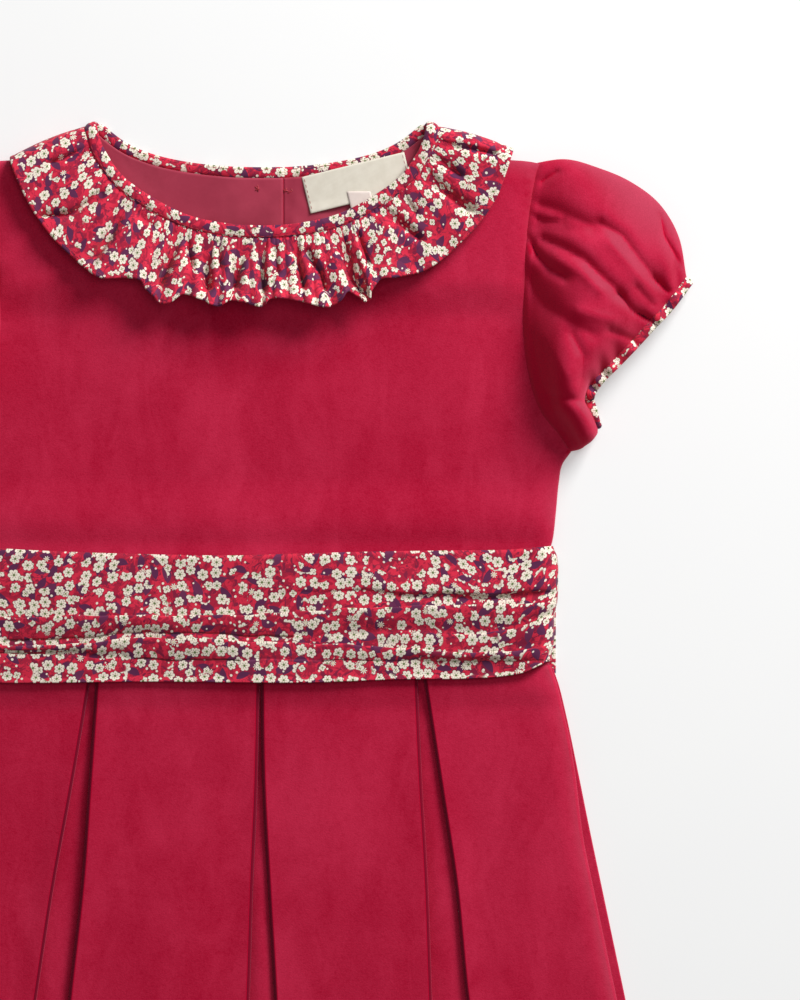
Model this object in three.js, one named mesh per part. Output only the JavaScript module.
// Toddler party dress, laid flat on its back, front up.
// Millimetres. +Z up, +Y towards the neck, +X to the viewer's right, z = 0 where it lies.
// Every cloth is a closed wall: a grid of points on its middle surface, moved out and in by half its
// thickness.
import * as THREE from "three";

// Driving sizes
const T_VELVET = 1.2;        // velvet wall of bodice, sleeves and skirt
const T_COTTON = 1.2;        // printed cotton of frill and sash
const T_LINING = 1.0;
const T_BINDING = 2.8;       // binding folded over the seam
const GAP = 0.4;             // clear space between pieces that lie on each other
const SEAM = 0.8;            // clear space between edges that are sewn together
const CUFF_SEAM = 0.7;
const ARM_SEAM = 1.6;        // the same at the armhole, where both edges are rounded
const WAIST_Y = 16.4;        // waist seam
const HEM_Y = -274.1;        // hem at the centre
const HEM_RISE = 5.5;        // the flared hem rises this much at the sides
const SEWN_WAIST_HALF = 136.2;
const NECK_BINDING_FRONT = 5.8;
const NECK_BINDING_BACK = 5.0;
const CUFF_BINDING = 3.8;
const Z_FRONT = 5.4;         // middle of the front cloth, lying over the back
const Z_BACK = 0.6;          // middle of the back cloth where it rests
const LIFT = 1.6;            // the back rises this much over what lies under it
const SASH_TOP = 70.0;
const SASH_BOTTOM = 8.8;
const SASH_HALF = 139.2;
const PLEAT_DEPTH_TOP = 15;
const PLEAT_DEPTH_HEM = 11;
const LEVEL = 1.6;           // height from one folded layer to the next
const BUTTON_D = 10;
const BUTTON_YS = [196, 158, 120];
const UNDERARM_Y = 118;
const TIP_Y = 254.2;         // shoulder tip, where the sleeve's top begins
const FOLD = 0.5;            // share of the way round the neck where the shoulder folds
const FOLD_OUT = 2.6;        // the wrapped cloth reaches this far past the folded line
const ARMHOLE_RISE = 4.4;    // the front stands this much higher in the middle of the armhole
const NECK_LIFT = 3.0;       // the front lies higher over the label and the frill's seam
const Z_BINDING_FRONT = 9.4;
const Z_BINDING_BACK = 1.4;
const Z_FRILL = 10.3;        // middle of the frill at its seam, over the bodice front
const LAP_END = 1.045;       // both back edges pass the centre back by this share of the neck
const FRILL_START = -0.985;  // the frill's left end stops short of the lap
const FRONT_NECK_END = 0.455;
const BACK_NECK_END = 0.545;
const RING = 44;             // points round a sleeve
const LABEL_LENGTH = 49.6;
const LABEL_WIDTH = 16.4;
const LABEL_TURN = 13.8;     // degrees

// Colours
const VELVET = "#a81c3c";
const SHADE = "#8f1734";
const LINING = "#a33c53";
const PRINT = "#b8324a";
const PRINT_EDGE = "#8c2c4c";
const CREAM = "#e8e0cf";
const BUTTON = "#9c2340";

// Small helpers
const lerp = (a, b, t) => a + (b - a) * t;
const clamp = (x, a = 0, b = 1) => Math.min(b, Math.max(a, x));
const ease = t => t * t * (3 - 2 * t);
const smooth = (a, b, x) => ease(clamp((x - a) / (b - a)));
const round = w => Math.sqrt(1 - Math.pow(1 - clamp(w), 2));
const span = (a, b, n) => Array.from({ length: n + 1 }, (_, i) => lerp(a, b, i / n));

// A smooth curve through a short table, read by its first column (rising)
function track(rows, column) {
  const k = rows.map(r => r[0]);
  const v = rows.map(r => r[column]);
  const slope = i => {
    if (i === 0) return (v[1] - v[0]) / (k[1] - k[0]);
    if (i === k.length - 1) return (v[i] - v[i - 1]) / (k[i] - k[i - 1]);
    const a = (v[i] - v[i - 1]) / (k[i] - k[i - 1]);
    const b = (v[i + 1] - v[i]) / (k[i + 1] - k[i]);
    return a * b <= 0 ? (a + b) / 4 : (a + b) / 2;
  };
  return x => {
    let i = 0;
    while (i < k.length - 2 && x > k[i + 1]) i++;
    const h = k[i + 1] - k[i];
    const t = clamp((x - k[i]) / h);
    const t2 = t * t;
    const t3 = t2 * t;
    return v[i] * (2 * t3 - 3 * t2 + 1) + slope(i) * h * (t3 - 2 * t2 + t)
      + v[i + 1] * (3 * t2 - 2 * t3) + slope(i + 1) * h * (t3 - t2);
  };
}

// Outline tables
const SIDE = [ // y, half width: bodice side seam from the waist to the underarm
  [16.4, 136.2], [70.5, 136.8], [76, 139.9], [104, 141.5], [112, 142.6], [118, 146.8],
];
const ARMHOLE = [ // y, half width: from the underarm to the shoulder tip
  [118, 146.8], [126.6, 141.4], [135, 134.6], [152.7, 128.3], [173, 125.4], [193.6, 124.9],
  [219, 125.7], [231.6, 126.9], [247, 129.4], [254.2, 131.6],
];
const sideX = track(SIDE, 1);
const armholeX = track(ARMHOLE, 1);
const bodiceX = y => (y < UNDERARM_Y ? sideX(y) : armholeX(y));

const NECK = [ // k (0 centre front, 1 centre back), seam x, y, frill edge x, y
  [0.00, 0.0, 218.9, 0.0, 189.0],
  [0.08, 15.2, 219.8, 18.0, 188.9],
  [0.17, 34.7, 223.6, 42.0, 190.4],
  [0.26, 52.4, 231.8, 66.0, 198.6],
  [0.35, 69.2, 243.6, 91.4, 213.4],
  [0.42, 78.0, 255.2, 107.0, 230.6],
  [0.47, 82.0, 263.6, 115.4, 246.6],
  [0.48, 82.7, 266.6, 117.2, 251.0],
  [0.50, 83.0, 268.8, 118.2, 254.8],
  [0.52, 82.6, 267.2, 117.2, 251.8],
  [0.54, 80.8, 264.2, 114.2, 245.6],
  [0.58, 76.0, 261.6, 106.0, 238.0],
  [0.66, 66.0, 257.8, 92.0, 227.6],
  [0.76, 52.0, 253.0, 70.0, 220.4],
  [0.86, 33.0, 249.6, 44.0, 217.0],
  [0.94, 13.5, 247.8, 18.0, 216.2],
  [1.00, 0.0, 247.5, 0.0, 216.1],
];
const neckTrack = [1, 2, 3, 4].map(c => track(NECK, c));

// Seam and edge of the neck ring at a signed k: the sign is the side, past 1 it crosses the centre back
function neckAt(k) {
  const past = Math.abs(k) > 1;
  const side = (k < 0) === past ? 1 : -1;
  const a = past ? 2 - Math.abs(k) : Math.abs(k);
  const [sx, sy, ex, ey] = neckTrack.map(f => f(a));
  const len = Math.hypot(ex - sx, ey - sy);
  return { side, a, sx, sy, ex, ey, dx: (ex - sx) / len, dy: (ey - sy) / len };
}
// 0 on the front, 1 on the back, turning over the shoulder
const over = a => clamp((a - (FOLD - 0.018)) / 0.036);
// A point on the neck ring: v = 0 at the seam, 1 at the frill's edge; inner > 0 moves towards the neck
function neckPoint(k, v, inner, zTop, zBottom) {
  const n = neckAt(k);
  const turn = over(n.a) * Math.PI;
  const reach = Math.sin(turn) * FOLD_OUT;
  const x = lerp(n.sx, n.ex, v) - n.dx * inner - n.dy * reach;
  const y = lerp(n.sy, n.ey, v) - n.dy * inner + n.dx * reach;
  const z = lerp(zTop, zBottom, (1 - Math.cos(turn)) / 2);
  return [n.side * x, y, z];
}

// Walls
function wall(name, grid, thickness, colour, roughness = 0.85, closed = false) {
  const nu = grid.length;
  const nv = grid[0].length;
  const P = grid.map(r => r.map(p => new THREE.Vector3(...p)));
  const at = (i, j) => P[closed ? (i + nu) % nu : clamp(i, 0, nu - 1)][clamp(j, 0, nv - 1)];
  const half = thickness / 2;
  const top = [];
  const bottom = [];
  for (let i = 0; i < nu; i++) {
    for (let j = 0; j < nv; j++) {
      const du = at(i + 1, j).clone().sub(at(i, j)).normalize()
        .add(at(i, j).clone().sub(at(i - 1, j)).normalize());
      const dv = at(i, j + 1).clone().sub(at(i, j)).normalize()
        .add(at(i, j).clone().sub(at(i, j - 1)).normalize());
      const n = du.cross(dv).normalize();
      top.push(at(i, j).clone().addScaledVector(n, half));
      bottom.push(at(i, j).clone().addScaledVector(n, -half));
    }
  }
  const points = [...top, ...bottom];
  const m = nu * nv;
  const id = (i, j, s) => ((i + nu) % nu) * nv + j + s * m;
  const index = [];
  const quad = (a, b, c, d) => index.push(a, b, c, a, c, d);
  const un = closed ? nu : nu - 1;
  for (let i = 0; i < un; i++) {
    for (let j = 0; j < nv - 1; j++) {
      quad(id(i, j, 0), id(i + 1, j, 0), id(i + 1, j + 1, 0), id(i, j + 1, 0));
      quad(id(i, j, 1), id(i, j + 1, 1), id(i + 1, j + 1, 1), id(i + 1, j, 1));
    }
    quad(id(i, 0, 0), id(i, 0, 1), id(i + 1, 0, 1), id(i + 1, 0, 0));
    quad(id(i, nv - 1, 0), id(i + 1, nv - 1, 0), id(i + 1, nv - 1, 1), id(i, nv - 1, 1));
  }
  if (!closed) {
    for (let j = 0; j < nv - 1; j++) {
      quad(id(0, j, 0), id(0, j + 1, 0), id(0, j + 1, 1), id(0, j, 1));
      quad(id(nu - 1, j, 0), id(nu - 1, j, 1), id(nu - 1, j + 1, 1), id(nu - 1, j + 1, 0));
    }
  }
  return solid(name, points, index, colour, roughness);
}

function solid(name, points, index, colour, roughness, metalness = 0) {
  let volume = 0;
  for (let i = 0; i < index.length; i += 3) {
    const [a, b, c] = [points[index[i]], points[index[i + 1]], points[index[i + 2]]];
    volume += a.dot(b.clone().cross(c)) / 6;
  }
  for (let i = 0; volume < 0 && i < index.length; i += 3) {
    [index[i], index[i + 1]] = [index[i + 1], index[i]];
  }
  const g = new THREE.BufferGeometry();
  g.setAttribute("position", new THREE.Float32BufferAttribute(points.flatMap(p => [p.x, p.y, p.z]), 3));
  g.setIndex(index);
  g.computeVertexNormals();
  const mesh = new THREE.Mesh(g, new THREE.MeshStandardMaterial({ color: colour, roughness, metalness }));
  mesh.name = name;
  return mesh;
}

const SHOULDER_IN = [83.6, 261.0]; // inner end of the shoulder seam
const SHOULDER = [ // f, x, y: shoulder seam from the neck to the tip
  [0, 83.6, 261.0], [0.5, 106, 255.2], [0.74, 118.0, 250.2], [0.86, 124.5, 252.2], [1, 131.6, 254.2],
];
const shoulderTrack = [1, 2].map(c => track(SHOULDER, c));
const shoulderY = track(SHOULDER.map(r => [r[1], r[2]]), 1);

// Height of the middle of the back cloth
function zBack(x, y) {
  const frill = smooth(198, 211, y);
  const sash = smooth(92, 77, y) * smooth(-8, 5, y);
  const placket = smooth(26, 14, Math.abs(x)) * smooth(60, 76, y);
  return Z_BACK + LIFT * Math.max(frill, sash, placket);
}

// Share of the way down the armhole (0 shoulder tip, 1 underarm) and the ring's height there
const ringSin = q => Math.sqrt(Math.max(0, 4 * q * (1 - q)));
const armholeQ = y => clamp((TIP_Y - y) / (TIP_Y - UNDERARM_Y));

// Height of the front cloth at its right or left edge
function sideHeight(y) {
  const low = zBack(100, y) + 1.7;
  if (y < UNDERARM_Y) return low;
  const q = armholeQ(y);
  return Math.max(low, zBack(100, y) + 1.2 + ARMHOLE_RISE * Math.pow(ringSin(q), 0.7));
}

// Height of the middle of the bodice front: flat over the back, higher over the label and the sash,
// rounding down to the side seam
const soft = (x, y) => 0.3 * Math.sin(x / 31 + y / 57) * Math.sin(y / 23 - x / 71);
const zPlateau = (x, y) => Z_FRONT + 0.3 + soft(x, y)
  + LIFT * smooth(92, 77, y) + NECK_LIFT * smooth(180, 200, y);
function zFront(x, y) {
  const ax = Math.abs(x);
  const w = bodiceX(clamp(y, WAIST_Y, TIP_Y)) - ax;
  const reach = y < UNDERARM_Y ? 10 : 16;
  const z = lerp(sideHeight(y), zPlateau(x, y), round(w / reach));
  if (ax < SHOULDER[0][1] - 4) return z;
  const seam = shoulderY(clamp(ax, SHOULDER[0][1], 131.6));
  return lerp(Math.min(z, zBack(100, y) + 2.0), z, round((seam - y) / 12));
}

// Coons patch from four boundary curves
function coons(bottom, top, left, right, us, vs) {
  const low = [bottom(0), bottom(1)];
  const high = [top(0), top(1)];
  return us.map(u => vs.map(v => [0, 1].map(c =>
    lerp(bottom(u)[c], top(u)[c], v) + lerp(left(v)[c], right(v)[c], u)
    - lerp(lerp(low[0][c], low[1][c], u), lerp(high[0][c], high[1][c], u), v))));
}

// Edge spacing: fine near both ends, u in 0..1 over a width in mm
function edged(width, steps, n) {
  const near = steps.map(s => s / width);
  const last = near[near.length - 1];
  const far = near.map(s => 1 - s).reverse();
  return [0, ...near, ...span(last, 1 - last, n).slice(1, -1), ...far, 1];
}

// Rows of the bodice as shares of its height, one of them at the underarm
const V_UNDERARM = (UNDERARM_Y - WAIST_Y) / (TIP_Y - WAIST_Y);
const BODICE_V = [0, 0.12, 0.225, 0.26, 0.33, 0.39, V_UNDERARM, 0.45, 0.49, 0.53, 0.58, 0.65, 0.73, 0.80, 0.86,
  0.91, 0.955, 0.985, 1];
const vToY = v => lerp(WAIST_Y + 0.2, TIP_Y, v);

// Neck seam moved away from the binding by the gap
function neckEdge(k) {
  const n = neckAt(k);
  const off = SEAM + 0.5 * smooth(0.2, 0.32, n.a);
  return [n.side * (n.sx + n.dx * off), n.sy + n.dy * off];
}

// Bodice front
function bodiceFront() {
  const shoulderPart = 0.16; // share of the piece's top taken by each shoulder
  const top = u => {
    const m = u < 0.5 ? -1 : 1;
    const d = Math.abs(u - 0.5) * 2;
    if (d > 1 - shoulderPart * 2) {
      const f = (d - (1 - shoulderPart * 2)) / (shoulderPart * 2);
      return [m * shoulderTrack[0](f), shoulderTrack[1](f)];
    }
    const k = d / (1 - shoulderPart * 2) * FRONT_NECK_END;
    const p = neckEdge(m * k);
    const blend = smooth(0.40, FRONT_NECK_END, k);
    return [lerp(p[0], m * SHOULDER_IN[0], blend), lerp(p[1], SHOULDER_IN[1], blend)];
  };
  const bottom = u => [lerp(-SEWN_WAIST_HALF, SEWN_WAIST_HALF, u), WAIST_Y + 0.2];
  const left = v => [-bodiceX(vToY(v)), vToY(v)];
  const right = v => [bodiceX(vToY(v)), vToY(v)];
  const us = edged(SEWN_WAIST_HALF * 2, [0.7, 2.6, 6, 12], 15);
  const grid = coons(bottom, top, left, right, us, BODICE_V)
    .map(r => r.map(([x, y]) => [x, y, zFront(x, y)]));
  return wall("bodice_front", grid, T_VELVET, VELVET);
}

// Bodice backs: the right one lies under, the left one laps over it and comes up
function bodiceBack(side) {
  const shoulderAt = 0.66; // share of the piece's top where the neck ends and the shoulder begins
  const top = u => {
    if (u > shoulderAt) {
      const f = (u - shoulderAt) / (1 - shoulderAt);
      return [shoulderTrack[0](f), shoulderTrack[1](f)];
    }
    const k = lerp(LAP_END, BACK_NECK_END, u / shoulderAt);
    const p = neckEdge(k);
    const blend = smooth(0.575, BACK_NECK_END, k);
    return [lerp(p[0], SHOULDER_IN[0], blend), lerp(p[1], SHOULDER_IN[1], blend)];
  };
  const x0 = top(0)[0];
  const bottom = u => [lerp(x0, SEWN_WAIST_HALF, u), WAIST_Y + 0.2];
  const left = v => [x0, lerp(WAIST_Y + 0.2, top(0)[1], v)];
  const right = v => [bodiceX(vToY(v)), vToY(v)];
  const us = side > 0 ? span(0, 1, 9) : [0, 0.06, 0.12, 0.17, 0.22, 0.3, 0.45, 0.6, 0.72, 0.86, 1];
  const lap = x => (side < 0 ? LEVEL * smooth(-23, -12, x) : 0);
  const grid = coons(bottom, top, left, right, us, BODICE_V)
    .map(r => r.map(([x, y]) => [side * x, y, zBack(x, y) + lap(-x)]));
  return wall(side > 0 ? "bodice_back_right" : "bodice_back_left", grid, T_VELVET, SHADE);
}

// Back lining: what shows in the neck opening
function lining(side) {
  const backSeam = track(NECK.filter(r => r[0] > 0.55).map(r => [r[1], r[2]]).reverse(), 1);
  const topY = x => backSeam(Math.abs(x)) - 0.25;
  const xs = side > 0 ? [10.6, 22, 36, 50, 62, 72] : [-9.8, -2, 6, 12, 18, 24, 36, 50, 62, 72];
  const lap = x => (side < 0 ? LEVEL * smooth(23, 12, x) : 0);
  const grid = xs.map(x => span(0, 1, 5).map(v => {
    const y = lerp(204 + 0.0045 * x * x, topY(x), v);
    return [side * x, y, zBack(x, y) + lap(x) + T_VELVET / 2 + GAP + 0.3 + T_LINING / 2];
  }));
  return wall(side > 0 ? "back_lining_right" : "back_lining_left", grid, T_LINING, LINING, 0.6);
}

// Neck binding: a folded strip on the neck side of the seam, lapped at the centre back
function neckBinding() {
  const half = [...span(0, 0.43, 13), 0.47, 0.485, 0.495, 0.505, 0.515, 0.525, ...span(0.55, LAP_END, 12)];
  const ks = [...half.slice(1).map(k => -k).reverse(), ...half];
  const vs = [0, 0.5, 1];
  const grid = ks.map(k => vs.map(v => {
    const a = Math.abs(k);
    const width = lerp(NECK_BINDING_FRONT, NECK_BINDING_BACK, smooth(0.45, 0.56, a));
    const lap = k < 0 ? (T_BINDING + GAP) * smooth(0.86, 0.94, a) : 0;
    return neckPoint(k, 0, width * v, Z_BINDING_FRONT, Z_BINDING_BACK + lap);
  }));
  return wall("neck_binding", grid, T_BINDING, PRINT_EDGE);
}

// Frill: gathered at the seam, waves growing to the free edge, one strip from back edge to back edge
const WAVES = [ // k, turns so far, depth of the wave in mm
  [0.00, 0.00, 2.5], [0.08, 1.25, 2.5], [0.17, 2.6, 2.4], [0.26, 3.9, 2.3], [0.35, 5.0, 1.9],
  [0.42, 5.8, 1.5], [0.47, 6.2, 0.9], [0.53, 6.5, 0.0], [1.0, 6.9, 0.0],
];
const turns = track(WAVES, 1);
const depth = track(WAVES, 2);
function frill() {
  const shoulder = [0.468, 0.482, 0.488, 0.494, 0.5, 0.506, 0.512, 0.518, 0.53];
  const ks = [...span(FRILL_START, -0.56, 9), ...shoulder.map(k => -k).reverse(), ...span(-0.45, 0.45, 88),
    ...shoulder, ...span(0.56, LAP_END, 10)];
  const grid = ks.map(k => [0, 0.3, 0.65, 1].map(v => {
    const a = Math.abs(k);
    const n = neckAt(k);
    const phase = 2 * Math.PI * turns(a) + (k < 0 ? 0.7 : 0);
    const amp = depth(a) * (0.12 + 0.88 * v);
    const wave = Math.cos(phase);
    const lean = Math.sin(phase) * amp * 0.45;
    const stretch = 0.05 * wave * v * (a < FOLD ? 1 : 0) * depth(a) / 2.5;
    const zTop = Z_FRILL + v * 0.7 + amp * (1 + wave);
    const p = neckPoint(k, v * (1 + stretch), -GAP, zTop, Z_BACK);
    return [p[0] + n.side * -n.dy * lean, p[1] + n.dx * lean * n.side * 0.2, p[2]];
  }));
  return wall("neck_frill", grid, T_COTTON, PRINT);
}

// Sleeves: a ring swept from the armhole to the cuff, its plan a patch between four curves
const SLEEVE = [ // s, top x, y, underarm x, y, rise of the front over the rim, rim height, squareness
  [0.00, 133.2, 254.2, 148.4, 118.0, 4.4, 1.8, 0.70],
  [0.12, 143.0, 256.0, 150.2, 119.2, 12.0, 4.0, 0.74],
  [0.30, 160.0, 251.6, 153.2, 121.0, 18.5, 8.0, 0.80],
  [0.50, 176.0, 244.4, 156.0, 123.0, 21.5, 9.0, 0.84],
  [0.70, 189.4, 233.4, 157.8, 125.2, 19.5, 8.6, 0.86],
  [0.86, 197.6, 218.6, 158.8, 127.0, 14.0, 6.6, 0.90],
  [1.00, 201.0, 200.4, 158.8, 129.0, 8.6, 3.8, 0.94],
];
const sleeveTrack = [1, 2, 3, 4, 5, 6, 7].map(c => track(SLEEVE, c));
const CUFF = [ // q, x, y: the sleeve's end from the top to the underarm, rolling in near the underarm
  [0.00, 201.0, 200.4], [0.15, 191.6, 188.0], [0.30, 182.6, 178.4], [0.45, 174.0, 169.0],
  [0.58, 166.0, 160.8], [0.70, 158.8, 153.6], [0.80, 153.6, 146.6], [0.86, 152.8, 141.8],
  [0.93, 155.6, 136.2], [1.00, 158.8, 129.0],
];
const cuffTrack = [1, 2].map(c => track(CUFF, c));
const CREASES = [ // x, y at each end, width, depth: soft troughs in the sleeve's front
  [130.4, 247.4, 142.0, 250.0, 2.6, 1.6], [128.6, 237.4, 150.0, 230.0, 3.0, 2.2],
  [127.2, 228.8, 141.0, 226.0, 2.6, 1.8], [127.0, 219.0, 145.0, 199.0, 3.6, 1.8],
  [137.0, 217.0, 166.0, 191.0, 4.4, 2.6], [163.0, 223.0, 190.0, 196.0, 4.0, 2.2],
  [145.0, 199.0, 172.0, 173.0, 4.0, 1.6], [131.0, 190.0, 152.0, 168.0, 5.0, 1.4],
];
const SLEEVE_S = [0, 0.05, 0.12, 0.22, 0.36, 0.52, 0.68, 0.82, 0.92, 1];

// Sum of soft troughs at a point of the plan
function troughs(rows, x, y) {
  let sum = 0;
  for (const [x0, y0, x1, y1, width, deep] of rows) {
    const len = Math.hypot(x1 - x0, y1 - y0);
    const t = ((x - x0) * (x1 - x0) + (y - y0) * (y1 - y0)) / (len * len);
    const off = ((x - x0) * (y1 - y0) - (y - y0) * (x1 - x0)) / len;
    sum += deep * Math.exp(-Math.pow(off / width, 2)) * smooth(-0.25, 0.15, t) * smooth(1.25, 0.85, t);
  }
  return sum;
}

function sleevePoint(s, th) {
  const [tx, ty, bx, by, rise, rim, power] = sleeveTrack.map(f => f(s));
  const q = (1 - Math.cos(th)) / 2;
  const sin = Math.pow(Math.abs(Math.sin(th)), power);
  const y0 = lerp(TIP_Y, UNDERARM_Y, q);
  const a = [armholeX(y0) + lerp(ARM_SEAM, SEAM, smooth(0.75, 0.95, ringSin(q))), y0];
  const c = cuffTrack.map(f => f(q));
  const [a0, a1] = [[armholeX(TIP_Y) + ARM_SEAM, TIP_Y], [armholeX(UNDERARM_Y) + ARM_SEAM, UNDERARM_Y]];
  const [c0, c1] = [cuffTrack.map(f => f(0)), cuffTrack.map(f => f(1))];
  const plan = i => lerp(a[i], c[i], s) + (1 - q) * ([tx, ty][i] - lerp(a0[i], c0[i], s))
    + q * ([bx, by][i] - lerp(a1[i], c1[i], s));
  const x = plan(0);
  const y = plan(1);
  const rimZ = lerp(zBack(100, y0) + 1.2, rim, smooth(0, 0.12, s));
  const floor = lerp(zBack(100, y0), Z_BACK, smooth(0, 0.12, s));
  const tucks = 0.8 * Math.exp(-Math.pow((1 - s) / 0.2, 2)) * Math.cos(2 * Math.PI * 6 * q);
  const folds = (tucks - troughs(CREASES, x, y) * smooth(0, 0.05, s)) * smooth(0.2, 0.6, sin);
  const z = Math.sin(th) >= 0 ? rimZ + rise * sin + folds : rimZ - (rimZ - floor) * sin;
  return [x, y, z];
}

const ringAngle = i => 2 * Math.PI * (i + 0.5) / RING;
function sleeve(side) {
  const grid = Array.from({ length: RING }, (_, i) => SLEEVE_S.map(s => {
    const [x, y, z] = sleevePoint(s, ringAngle(i));
    return [side * x, y, z];
  }));
  return wall(side > 0 ? "sleeve_right" : "sleeve_left", grid, T_VELVET, VELVET, 0.85, true);
}

// Cuff binding: a band past the sleeve's end, square to the cuff line
function cuffBinding(side) {
  const grid = Array.from({ length: RING }, (_, i) => [0, CUFF_BINDING / 2, CUFF_BINDING].map(d => {
    const th = ringAngle(i);
    const [x, y, z] = sleevePoint(1, th);
    const q = (1 - Math.cos(th)) / 2;
    const tx = cuffTrack[0](Math.min(1, q + 0.03)) - cuffTrack[0](Math.max(0, q - 0.03));
    const ty = cuffTrack[1](Math.min(1, q + 0.03)) - cuffTrack[1](Math.max(0, q - 0.03));
    const len = Math.hypot(tx, ty);
    const out = CUFF_SEAM + 0.4 * smooth(0.68, 0.82, q) + d * lerp(1, 0.5, smooth(0.86, 1, q));
    return [side * (x - ty / len * out), y + tx / len * out, Math.max(z, 0.8)];
  }));
  return wall(side > 0 ? "cuff_binding_right" : "cuff_binding_left", grid, 1.6, PRINT_EDGE, 0.85, true);
}

// Sash: a band over the waist with pressed tucks, rounding down at the side seams
const TUCKS = [ // x, y of the lower long fold, y of the upper
  [-139, 24.5, 38.5], [-107, 25.8, 39.0], [-88, 26.2, 39.8], [-64, 28.9, 39.8], [-27, 28.7, 39.8],
  [3, 27.1, 40.6], [27, 26.5, 42.3], [65, 24.5, 44.0], [103, 22.2, 45.0], [128, 24.0, 45.6], [139, 26.0, 46.0],
];
const SHORT_TUCK_Y = 51.0;
const lowerTuck = track(TUCKS, 1);
const upperTuck = track(TUCKS, 2);
// A tuck: the cloth climbs to the fold from below and drops steeply past it, on to the cloth above
const tuck = (y, fold, rise) => rise * smooth(fold + 0.9, fold - 0.5, y) * smooth(fold - 15, fold - 2, y);
function sashHeight(x, y) {
  const die = smooth(138, 126, Math.abs(x));
  const short = tuck(y, SHORT_TUCK_Y, 1.3) * smooth(75, 95, x);
  const long = tuck(y, lowerTuck(x), 2.0) + tuck(y, upperTuck(x), 2.4);
  return die * (long + short) + 0.5 * Math.sin(x / 23 + y / 9);
}
function sash() {
  const rows = x => {
    const folds = [lowerTuck(x), upperTuck(x), SHORT_TUCK_Y];
    const steps = folds.flatMap((y, i) => [y - (i < 2 ? 5 : 2.2), y - 0.6, y + 1]);
    return [SASH_BOTTOM, 14, ...steps, 57, 63, SASH_TOP];
  };
  const us = edged(SASH_HALF * 2, [0.5, 1.8, 4.4, 9], 14);
  const grid = us.map(u => {
    const x = lerp(-SASH_HALF, SASH_HALF, u);
    const w = SASH_HALF - Math.abs(x);
    return rows(x).map(y => {
      const end = y < 22 ? smooth(22, SASH_BOTTOM, y) * smooth(100, 139, Math.abs(x)) * 5.5 : 0;
      const z = Z_FRONT + LIFT + T_VELVET + GAP + 1.1 + sashHeight(x, y) * smooth(6, 24, w);
      return [x, y + end, lerp(2.2, z, round(w / 8))];
    });
  });
  return wall("sash_front", grid, T_COTTON, PRINT);
}
function sashBack() {
  const ys = span(SASH_BOTTOM, SASH_TOP, 2);
  const grid = span(-SASH_HALF, SASH_HALF, 8).map(x => ys.map(y => [x, y, Z_BACK]));
  return wall("sash_back", grid, T_COTTON, PRINT);
}

// Skirt
const SKIRT_SIDE = [ // y, half width
  [-280, 199.8], [-142.7, 171.8], [-90.5, 161.0], [-61, 154.9], [-34.4, 149.6], [-6.9, 143.9], [8, 140.2],
  [16.4, 137.2],
];
const skirtX = track(SKIRT_SIDE, 1);
const PLEATS_FRONT = [ // y, left pleat's left and right edge, centre's, right pleat's
  [-280, -129, -104.5, -13.0, 13.4, 86.0, 119.0],
  [-142.7, -107.4, -91.2, -6.4, 6.6, 80.3, 97.8],
  [-87, -98.8, -85.0, -4.6, 3.4, 78.3, 92.2],
  [-40, -90.2, -81.6, -2.6, 0.9, 75.6, 85.2],
  [16.4, -80.8, -77.6, -1.5, 0.1, 73.0, 76.6],
];
const PLEATS_BACK = [ // y, left pleat's left and right edge, right pleat's: between those of the front
  [-280, -62.0, -48.0, 45.0, 59.0],
  [-142.7, -51.5, -44.5, 42.5, 49.5],
  [16.4, -37.4, -35.8, 35.8, 37.4],
];

// One row of a pleated skirt panel, left to right: [x, height over the lowest layer], the folds turned under
function pleatRow(y, half, edge, tracks) {
  const r = LEVEL / 2;
  const d = lerp(PLEAT_DEPTH_HEM, PLEAT_DEPTH_TOP, clamp((y - HEM_Y) / (WAIST_Y - HEM_Y)));
  const pleat = tracks.map(f => f(y));
  const top = 2 * LEVEL;
  const rim = [0, 0.7, 2.4, 5.5, 10];
  const row = rim.map(w => [-half + w, lerp(edge, top, round(w / 10))]);
  let from = -half + 10;
  const panel = to => {
    for (const f of [0.33, 0.67]) row.push([lerp(from, to, f), top]);
  };
  for (let i = 0; i < pleat.length; i += 2) {
    const xl = pleat[i];
    const xr = pleat[i + 1];
    panel(xl - r);
    row.push([xl - r, top], [xl, top - r], [xl - r, top - 2 * r]);
    row.push([xl - d + r, LEVEL], [xl - d, LEVEL - r], [xl - d + r, 0]);
    row.push([(xl + xr) / 2, 0]);
    row.push([xr + d - r, 0], [xr + d, r], [xr + d - r, LEVEL]);
    row.push([xr + r, LEVEL], [xr, LEVEL + r], [xr + r, top]);
    from = xr + r;
  }
  panel(half - 10);
  for (const w of [...rim].reverse()) row.push([half - w, lerp(edge, top, round(w / 10))]);
  return row;
}
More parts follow.
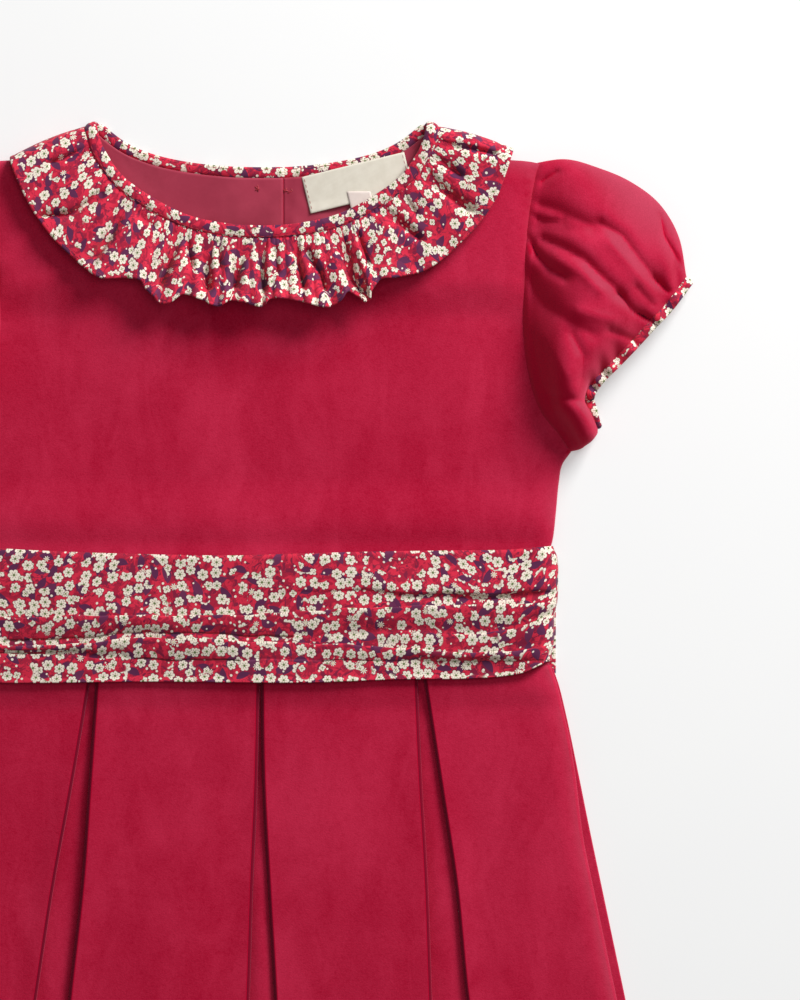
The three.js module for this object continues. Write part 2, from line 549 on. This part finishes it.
function skirt(front) {
  const ys = [HEM_Y, -200, -120, -50, -9, 4.5, WAIST_Y - 0.2];
  const table = front ? PLEATS_FRONT : PLEATS_BACK;
  const tracks = table[0].slice(1).map((_, i) => track(table, i + 1));
  const rows = ys.map(y => {
    const lift = LIFT * smooth(-6, 7, y);
    const half = front ? skirtX(y) - 0.9 - 3.2 * smooth(-20, -75, y) : skirtX(y);
    return pleatRow(y, half, front ? 0.1 : 2 * LEVEL, tracks).map(([x, h]) => {
      const rise = HEM_RISE * Math.pow(x / 196, 2) * clamp((WAIST_Y - y) / (WAIST_Y - HEM_Y));
      const raised = front && h > 3.1;
      const swell = raised ? 0.4 * (1 + Math.sin(x / 19 + y / 60)) * smooth(0, -80, y) : 0;
      return [x, y + rise, front ? Z_FRONT - 2 * LEVEL + h + lift + swell : Z_BACK + 2 * LEVEL - h + lift];
    });
  });
  const grid = rows[0].map((_, i) => rows.map(r => r[i]));
  return wall(front ? "skirt_front" : "skirt_back", grid, T_VELVET, front ? VELVET : SHADE);
}

// Label and size tab
const T_TAPE = 1.0;
const LABEL_CORNER = [19.2, 247.8]; // upper left corner
const LABEL_Z = Z_BACK + LIFT + T_VELVET / 2 + GAP + 0.3 + T_LINING + GAP + T_TAPE / 2;
function label() {
  const turn = LABEL_TURN * Math.PI / 180;
  const [x0, y0] = LABEL_CORNER;
  const grid = span(0, LABEL_LENGTH, 4).map(a => span(0, -LABEL_WIDTH, 2).map(b =>
    [x0 + a * Math.cos(turn) - b * Math.sin(turn), y0 + a * Math.sin(turn) + b * Math.cos(turn), LABEL_Z]));
  return wall("label", grid, T_TAPE, CREAM, 0.7);
}
// The tab hangs from under the label and slants towards the side
function tab() {
  const z = LABEL_Z + T_TAPE + GAP;
  const grid = [40.6, 51.4].map(x => span(241, 223, 2).map(y => [x + (241 - y) * 0.24, y, z]));
  return wall("size_tab", grid, T_TAPE, CREAM, 0.7);
}

// Buttons on the outside of the back, under the lap
function button(i, y) {
  const n = 20;
  const r = BUTTON_D / 2;
  const points = [];
  for (const z of [0.1, 1.2]) {
    points.push(new THREE.Vector3(0, y, z));
    for (let a = 0; a < n; a++) {
      const turn = 2 * Math.PI * a / n;
      points.push(new THREE.Vector3(r * Math.cos(turn), y + r * Math.sin(turn), z));
    }
  }
  const index = [];
  for (let a = 0; a < n; a++) {
    const b = (a + 1) % n;
    index.push(0, 1 + b, 1 + a, n + 1, n + 2 + a, n + 2 + b);
    index.push(1 + a, 1 + b, n + 2 + b, 1 + a, n + 2 + b, n + 2 + a);
  }
  return solid("button_" + i, points, index, BUTTON, 0.5);
}

const dress = new THREE.Group();
dress.name = "toddler_party_dress";
dress.add(bodiceFront(), bodiceBack(1), bodiceBack(-1), lining(1), lining(-1), neckBinding(), frill());
for (const side of [1, -1]) dress.add(sleeve(side), cuffBinding(side));
dress.add(sash(), sashBack(), skirt(true), skirt(false), label(), tab());
BUTTON_YS.forEach((y, i) => dress.add(button(i + 1, y)));
export default dress;
